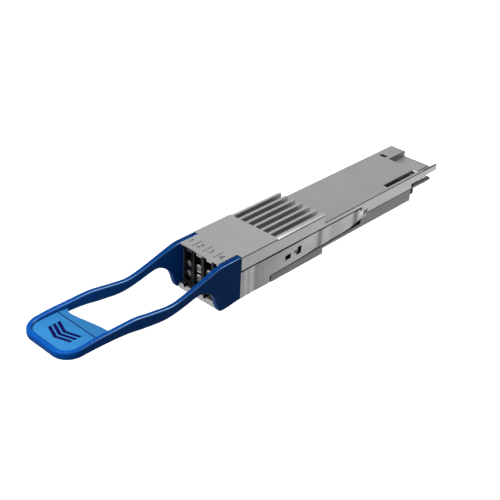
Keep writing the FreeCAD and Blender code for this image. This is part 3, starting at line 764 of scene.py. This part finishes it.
def slot_chamfers():
    """Wedges that chamfer the rear rims of the two slots in the roof."""
    wedges = []
    for x, y in SLOT_ENDS:
        front, rear, over = x - 0.1, x + SLOT_CHAMFER, BODY_H + 0.1
        profile = [(front, BODY_H - SLOT_CHAMFER), (x, BODY_H - SLOT_CHAMFER), (rear, BODY_H),
                   (rear, over), (front, over)]
        wedges.append(prism("slot_chamfer", profile, "Y", y))
    return wedges


def within(value, span, slack=0.0):
    """True between two values, or just outside them by the slack."""
    return span[0] - slack < value < span[1] + slack


def in_recess(at, normal):
    """True for the wall that the slider runs along, which is painted as shadow."""
    return at.x < RECESS_END_X and abs(normal.y) > 0.5 and abs(abs(at.y) - RECESS_WALL_Y) < 0.06


def in_latch_pocket(at, normal):
    """True for the walls of the pockets for the cage's latch tabs, which are painted bright as a
    highlight.
    """
    return (within(at.x, LATCH_POCKET_X) and within(abs(at.y), LATCH_POCKET_Y)
            and within(at.z, LATCH_POCKET_Z))


def both_sides(name, x, y, z):
    """A block on the left side and its mirror image."""
    return [block(name, x, y, z), block(name, x, (-y[1], -y[0]), z)]


# Lines cut into the upper housing and painted as shadow: spans of Z.
ROOF_SEAM_Z = (BODY_H - 0.3, BODY_H - 0.07)
PLATE_SEAM_Z = (10.9, 11.15)
FIN_SEAM_Z = (10.6, 10.85)
TONGUE_SCORE_Z = (6.4, 7.0)
WING_SCORE_Z = (8.35, 9.0)
SCORE_END_X = 98.18


def make_upper_housing():
    """Shell with a seam under its roof edge and scored lines on tongue and wing, with painted shadow in
    its gaps.
    """
    shell = from_cad("upper_housing", "upper_shell")
    soften(shell, EDGE, outer_edge)
    outside = HALF_W - 0.3, 10
    cuts = both_sides("roof_seam", (STOP_X + 0.3, 97.6), outside, ROOF_SEAM_Z)
    cuts += [block("tongue_rear_score", (SCORE_END_X - SCORE, SCORE_END_X), (-6.1, 3.5), TONGUE_SCORE_Z),
             block("tongue_side_score", (90.0, SCORE_END_X), (-6.1, SCORE - 6.1), TONGUE_SCORE_Z),
             block("wing_score", (90.6, 97.7), (-9.06, -8.81), WING_SCORE_Z)]
    cuts += both_sides("plate_seam", (TAB_REAR_X, FIN_X), (8.55, 10), PLATE_SEAM_Z)
    cuts += both_sides("fin_seam", (FIN_X - 0.01, STOP_X + 1), (8.55, 10), FIN_SEAM_Z)
    carve(shell, cuts + slot_chamfers())
    place(shell, "housing", "die_cast_metal", UPPER, ["upper_housing"], smooth=0)

    def on_slot_chamfer(at, normal):
        return at.x > 88 and at.z > BODY_H - 0.3 and -0.8 < normal.x < -0.6

    def in_gap(at, normal):
        roof_seam = at.x > STOP_X and within(at.z, ROOF_SEAM_Z, 0.01) and abs(at.y) > 8.8
        beside_plate = TAB_REAR_X < at.x < STOP_X and at.z > 10 and normal.z > 0.5
        scored = at.x > 90 and (6.39 < at.z < TONGUE_TOP - 0.01 or 8.34 < at.z < BODY_H - 0.01)
        return in_recess(at, normal) or roof_seam or beside_plate or scored

    # Painted highlight on the slot chamfers and in the latch pockets.
    paint(shell, HIGHLIGHT_METAL, on_slot_chamfer)
    paint(shell, HIGHLIGHT_METAL, in_latch_pocket)
    # Painted light: the tongue's top takes a lighter, rougher casting colour.
    paint(shell, LIT_TONGUE, lambda at, normal: at.x > ROOF_END_X and at.z < TONGUE_TOP + 0.15
          and normal.z > 0.9)
    # Painted shade: the wings' inner walls take the darker casting colour.
    paint(shell, SHADED_CASTING, lambda at, normal: at.x > ROOF_END_X and within(at.y, WING_WALL_Y)
          and normal.y < -0.5)
    # Painted shadow on the recess wall, the seams and the scored lines.
    paint(shell, SHADOW, in_gap)


def make_lower_housing():
    """Tray painted darker than the upper casting as shade, with its nose in the upper casting's lighter
    colour, latch pockets painted bright as a highlight, and painted shadow in the notches of its front
    lip.
    """
    shell = from_cad("lower_housing", "lower_shell")
    soften(shell, EDGE, outer_edge)
    place(shell, "housing", "die_cast_metal", SHADED_CASTING, ["lower_housing"], smooth=0)
    # The nose keeps the upper casting's lighter colour; the rest of the tray stays painted darker as
    # shade.
    paint(shell, UPPER, lambda at, normal: at.x < NOSE_FLOOR_END_X)
    # Painted highlight in the latch pockets.
    paint(shell, HIGHLIGHT_METAL, in_latch_pocket)
    # Painted shadow on the recess wall and in the lip's notches.
    paint(shell, SHADOW, lambda at, normal: in_recess(at, normal)
          or (within(at.x, LIP_NOTCH_X) and within(at.z, LIP_NOTCH_Z)))


def arc(centre, radius, start, end, count=10):
    """Points on a circle between two angles in degrees."""
    angles = [math.radians(start + (end - start) * index / count) for index in range(count + 1)]
    return [(centre[0] + radius * math.cos(angle), centre[1] + radius * math.sin(angle))
            for angle in angles]


# Strokes of the port numbers: right and up, from the middle of the foot.
NUMERALS = [
    [[(-0.4, 1.55), (0.05, 1.95), (0.05, 0.0)]],
    [arc((0.0, 1.4), 0.55, 165, -35) + [(-0.6, 0.05), (0.65, 0.05)]],
    [arc((-0.03, 1.5), 0.46, 150, -90), arc((-0.03, 0.52), 0.52, 90, -150)],
    [[(0.3, 0.0), (0.3, 1.95), (-0.6, 0.6), (0.68, 0.6)]],
]
NUMERAL_X = 2.05
NUMERAL_Y = (6.1, 2.45, -1.5, -5.5)
SEPARATOR_X = (1.2, 5.0)
SEPARATOR_Y = (4.0, 0.0, -4.1)
ENGRAVING_X = (0.5, 5.5)
ENGRAVED = 0.25
STROKE = 0.2


def stroke_cutters(points, to_plan):
    """One slim cutter per straight stretch of a stroke, each a little long so that they join."""
    cutters = []
    for start, end in zip(points, points[1:]):
        a, b = Vector(to_plan(start)), Vector(to_plan(end))
        along = (b - a).normalized() * STROKE * 0.4
        across = Vector((-along.y, along.x)).normalized() * STROKE / 2
        corners = [a - along - across, b + along - across, b + along + across, a - along + across]
        cutters.append(prism("stroke", [tuple(corner) for corner in corners], "Z",
                             (NOSE_TOP - ENGRAVED, NOSE_TOP + 1)))
    return cutters


def numeral_cutters():
    """Cutters for the four port numbers."""
    cutters = []
    for strokes, middle in zip(NUMERALS, NUMERAL_Y):
        for points in strokes:
            cutters += stroke_cutters(points, lambda at, y=middle: (NUMERAL_X + at[1], y - at[0]))
    return cutters


def make_heat_sink():
    """Label plate with engraved port numbers, and the fins behind it; fin walls painted darker as shade,
    fin tops lighter as a highlight.
    """
    sink = from_cad("nose_heat_sink", "label_plate_and_fins")
    floor = NOSE_TOP - ENGRAVED
    top = NOSE_TOP - 0.02
    carve(sink, numeral_cutters()
          + [block("separator", SEPARATOR_X, (y - STROKE / 2, y + STROKE / 2), (floor, NOSE_TOP + 1))
             for y in SEPARATOR_Y])
    soften(sink, PLATE_EDGE, lambda at, along: at.x < 0.02 and at.z > top and abs(along.y) > 0.9, 4)
    soften(sink, FIN_EDGE, lambda at, along: at.z > top and at.x > FIN_X - 0.1
           and abs(at.y) < FINS_HALF_W)
    place(sink, "housing", "heat_sink_metal", SINK, ["nose_heat_sink"], smooth=0)
    crest = NOSE_TOP - 0.3
    # Painted shade on the fins' walls and valleys.
    paint(sink, FIN_WALL_SHADE, lambda at, normal: at.x > FIN_X and abs(at.y) < FINS_HALF_W and at.z < crest)
    # Painted highlight on the fin tops.
    paint(sink, HIGHLIGHT_METAL, lambda at, normal: at.x > FIN_X and at.z > crest and normal.z > 0.5)
    # Painted shadow on the floors and walls of the engravings.
    paint(sink, SHADOW, lambda at, normal: within(at.x, ENGRAVING_X) and floor - 0.01 < at.z < top)


def port_flare(front, y):
    """Frustum that chamfers the rim of one port."""
    bm = bmesh.new()
    bmesh.ops.create_cube(bm, size=2.0)
    middle, half_height = sum(PORT_Z) / 2, (PORT_Z[1] - PORT_Z[0]) / 2
    for vert in bm.verts:
        depth = -0.1 if vert.co.x < 0 else PORT_CHAMFER + 0.1
        grow = PORT_CHAMFER - depth
        vert.co = (front + depth, y + vert.co.y * (PORT_HALF_W + grow),
                   middle + vert.co.z * (half_height + grow))
    return from_bmesh("port_flare", bm)


def make_adapter():
    """Black port block with chamfered rims, painted lighter grey as a highlight."""
    adapter = from_cad("port_adapter", "port_receptacle")
    front = node_box("port_adapter")[0].x
    carve(adapter, [port_flare(front, PORT_PITCH * (index - 1.5)) for index in range(4)])
    place(adapter, "housing", "black_plastic", BLACK, ["port_adapter"], smooth=0)
    # Painted highlight on the chamfered port rims.
    paint(adapter, RIM_HIGHLIGHT, lambda at, normal: at.x < front + PORT_CHAMFER and 0.2 < abs(normal.x) < 0.97)


# ---- nodes that keep their CAD shape ------------------------------------------------------------
def finish_cad_nodes():
    """Procedural finish for each carried-over node."""
    screw = plated("screw_nickel", (0.6, 0.6, 0.62))
    gold = plated("contact_gold", (0.86, 0.72, 0.46), 0.2)
    lid = brushed_metal("lid_nickel", (0.62, 0.6, 0.56), 0.28, 0.4)
    epoxy = plastic("chip_epoxy", (0.015, 0.015, 0.017), 0.55, 0.4, grain=9000.0)
    substrate = plastic("chip_substrate", (0.02, 0.09, 0.05), 0.5, 0.4)
    ceramic = plastic("ceramic_white", (0.72, 0.7, 0.64), 0.3, 0.5)
    tan = plastic("capacitor_tan", (0.32, 0.2, 0.11), 0.4, 0.5)
    ferrite = plastic("ferrite_grey", (0.06, 0.06, 0.065), 0.6, 0.3)
    die = plated("bare_die", (0.25, 0.27, 0.34), 0.15)
    paper = plastic("label_paper", (0.78, 0.78, 0.76), 0.55, 0.3, grain=1500.0)
    gap_pad = soft_pad("gap_pad", (0.25, 0.33, 0.42))
    foam = soft_pad("conductive_foam", (0.012, 0.012, 0.013))
    glass = clear_glass("fibre_glass", (0.55, 0.62, 0.66))
    finishes = {
        "sleeve_barrels": NICKEL,
        "ferrule_sleeves": ceramic, "ferrule_stubs": ceramic, "adapter_retainer": lid,
        "optical_fibres": glass, "fibre_array": glass, "photonic_engine": substrate, "engine_lid": lid,
        "laser_chips": die, "driver_chip": die, "engine_thermal_pad": gap_pad,
        "circuit_board": board_mask("board_mask"), "contact_pads_top": gold, "contact_pads_bottom": gold,
        "dsp_package": substrate, "dsp_lid": lid, "dsp_thermal_pad": gap_pad, "microcontroller": epoxy,
        "clock_oscillator": lid, "memory_chip": epoxy, "power_inductors": ferrite,
        "voltage_regulators": epoxy, "decoupling_capacitors": tan, "coupling_capacitors": tan,
        "card_seal_upper": foam, "card_seal_lower": foam, "seam_gaskets": foam,
        "housing_screws": screw, "blank_label": paper,
    }
    for node, material in finishes.items():
        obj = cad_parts[node]
        obj.data.materials.clear()
        obj.data.materials.append(material)


# ---- stage --------------------------------------------------------------------------------------
WHITE = (1.0, 1.0, 1.0)
SKY_AXIS = (0.672, 0.741, 0.0)    # the surround brightens towards this side
SKY_BELOW = (-0.17, 0.2, 0.17, 1.04)    # place, strength, place, strength along the axis
SKY_ABOVE = (-0.1, 0.36, 0.95, 0.6)
# Soft lights in the module frame: place, aim, size in millimetres, power in watts, colour.
LIGHTS = {
    "key": ((-70.0, 0.0, 56.0), (-43.0, 0.0, 8.0), 50.0, 0.135, WHITE),
    "edge": ((95.0, -110.0, 110.0), (-10.0, 0.0, 8.0), 80.0, 15.0, (0.5, 0.78, 1.0)),
    "chamfer": ((95.0, -110.0, 110.0), (-10.0, 0.0, 8.0), 80.0, 0.03, WHITE),
    "rim": ((-268.0, 330.0, 416.0), (20.0, 0.0, 8.0), 200.0, 0.24, WHITE),
    "ports": ((-110.0, -50.0, 42.0), (3.0, 0.0, 4.0), 40.0, 0.03, WHITE),
}
FLOOR_WASH = 3.6
FLOOR_HALF_M, BACKDROP_R_M = 4.0, 3.6


def sky(low, high):
    """Studio surround that brightens along SKY_AXIS, below and above the horizon.

    Each half is (place, strength, place, strength), with places from -1 to 1 along the axis.
    """
    world = bpy.data.worlds.new("studio")
    world.use_nodes = True
    bpy.context.scene.world = world
    tree = world.node_tree
    background = next(n for n in tree.nodes if n.type == "BACKGROUND")
    background.inputs["Color"].default_value = (*WHITE, 1.0)
    direction = tree.nodes.new("ShaderNodeTexCoord").outputs["Generated"]

    def spread(source, settings, targets):
        made = tree.nodes.new("ShaderNodeMapRange")
        made.interpolation_type = "SMOOTHSTEP"
        made.inputs["From Min"].default_value, made.inputs["From Max"].default_value = settings
        for key, target in zip(("To Min", "To Max"), targets):
            if isinstance(target, float):
                made.inputs[key].default_value = target
            else:
                tree.links.new(target, made.inputs[key])
        tree.links.new(source, made.inputs["Value"])
        return made.outputs["Result"]

    sideways = tree.nodes.new("ShaderNodeVectorMath")
    sideways.operation = "DOT_PRODUCT"
    sideways.inputs[1].default_value = SKY_AXIS
    tree.links.new(direction, sideways.inputs[0])
    parts = tree.nodes.new("ShaderNodeSeparateXYZ")
    tree.links.new(direction, parts.inputs["Vector"])
    halves = [spread(sideways.outputs["Value"], (half[0], half[2]), (half[1], half[3]))
              for half in (low, high)]
    tree.links.new(spread(parts.outputs["Z"], (-0.03, 0.03), halves), background.inputs["Strength"])


def soft_light(name, at, aim, size, power, colour):
    """Square soft light between two points of the module frame."""
    data = bpy.data.lights.new(name, "AREA")
    data.shape = "SQUARE"
    data.size = size * MM
    data.energy = power
    data.color = colour
    light = bpy.data.objects.new(name, data)
    light.location = TO_ROW @ Vector(at)
    light.rotation_mode = "QUATERNION"
    light.rotation_quaternion = (Vector(aim) - Vector(at)).to_track_quat("-Z", "Y")
    bpy.context.scene.collection.objects.link(light)
    return light


def light_only(light, objects, state="INCLUDE"):
    """Limit a light to some objects, or to all others."""
    group = bpy.data.collections.new(light.name + "_" + state.lower())
    for obj in objects:
        group.objects.link(obj)
    light.light_linking.receiver_collection = group
    for member in group.collection_objects:
        member.light_linking.link_state = state


def make_backdrops():
    """Pale floor and white dome that only the camera sees."""
    bm = bmesh.new()
    bmesh.ops.create_grid(bm, x_segments=2, y_segments=2, size=FLOOR_HALF_M)
    floor = from_bmesh("floor", bm)
    bm = bmesh.new()
    bmesh.ops.create_uvsphere(bm, u_segments=48, v_segments=24, radius=BACKDROP_R_M)
    dome = from_bmesh("backdrop", bm)
    paper, glow = Shader("floor_white"), Shader("backdrop_white")
    for made, scale in ((paper, 3.0), (glow, 1.0)):
        made.colour(made.noise(scale), shade(WHITE, 0.93), shade(WHITE, 0.95))
    paper.bsdf.inputs["Roughness"].default_value = 0.9
    paper.bsdf.inputs["Specular IOR Level"].default_value = 0.0
    glow.bsdf.inputs["Emission Color"].default_value = (*WHITE, 1.0)
    glow.bsdf.inputs["Emission Strength"].default_value = 1.0
    for obj, made in ((floor, paper), (dome, glow)):
        obj.data.materials.append(made.material)
        obj.visible_diffuse = obj.visible_glossy = obj.visible_shadow = obj.visible_transmission = False
        obj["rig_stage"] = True
    return floor


def make_stage():
    """Surround, floor and soft lights, each light on the pieces that need it."""
    floor = make_backdrops()
    sky(SKY_BELOW, SKY_ABOVE)
    blue = [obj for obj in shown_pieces() if obj.get("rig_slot") == "blue_plastic"]
    loop = [obj for obj in blue if obj.name == "pull_tab_loop"]
    inside = [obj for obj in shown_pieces() if obj.get("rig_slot") == "black_plastic"]
    inside += [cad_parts[node] for node in ("sleeve_barrels", "ferrule_sleeves", "ferrule_stubs")]
    lights = {name: soft_light(name, *settings) for name, settings in LIGHTS.items()}
    light_only(lights["key"], blue)
    light_only(lights["edge"], loop)
    light_only(lights["chamfer"], blue + [floor], "EXCLUDE")
    light_only(lights["rim"], blue + inside + [floor], "EXCLUDE")
    light_only(lights["ports"], inside)
    for name in ("edge", "chamfer", "rim"):
        lights[name].visible_diffuse = False
    wash = bpy.data.objects.new("floor_wash", bpy.data.lights.new("floor_wash", "SUN"))
    wash.data.energy = FLOOR_WASH
    wash.data.use_shadow = False
    bpy.context.scene.collection.objects.link(wash)
    light_only(wash, [floor])


bpy.context.scene.view_settings.view_transform = "Standard"
make_camera()
make_pull_tab()
make_latch_slider()
make_return_springs()
make_upper_housing()
make_lower_housing()
make_heat_sink()
make_adapter()
finish_cad_nodes()
make_stage()
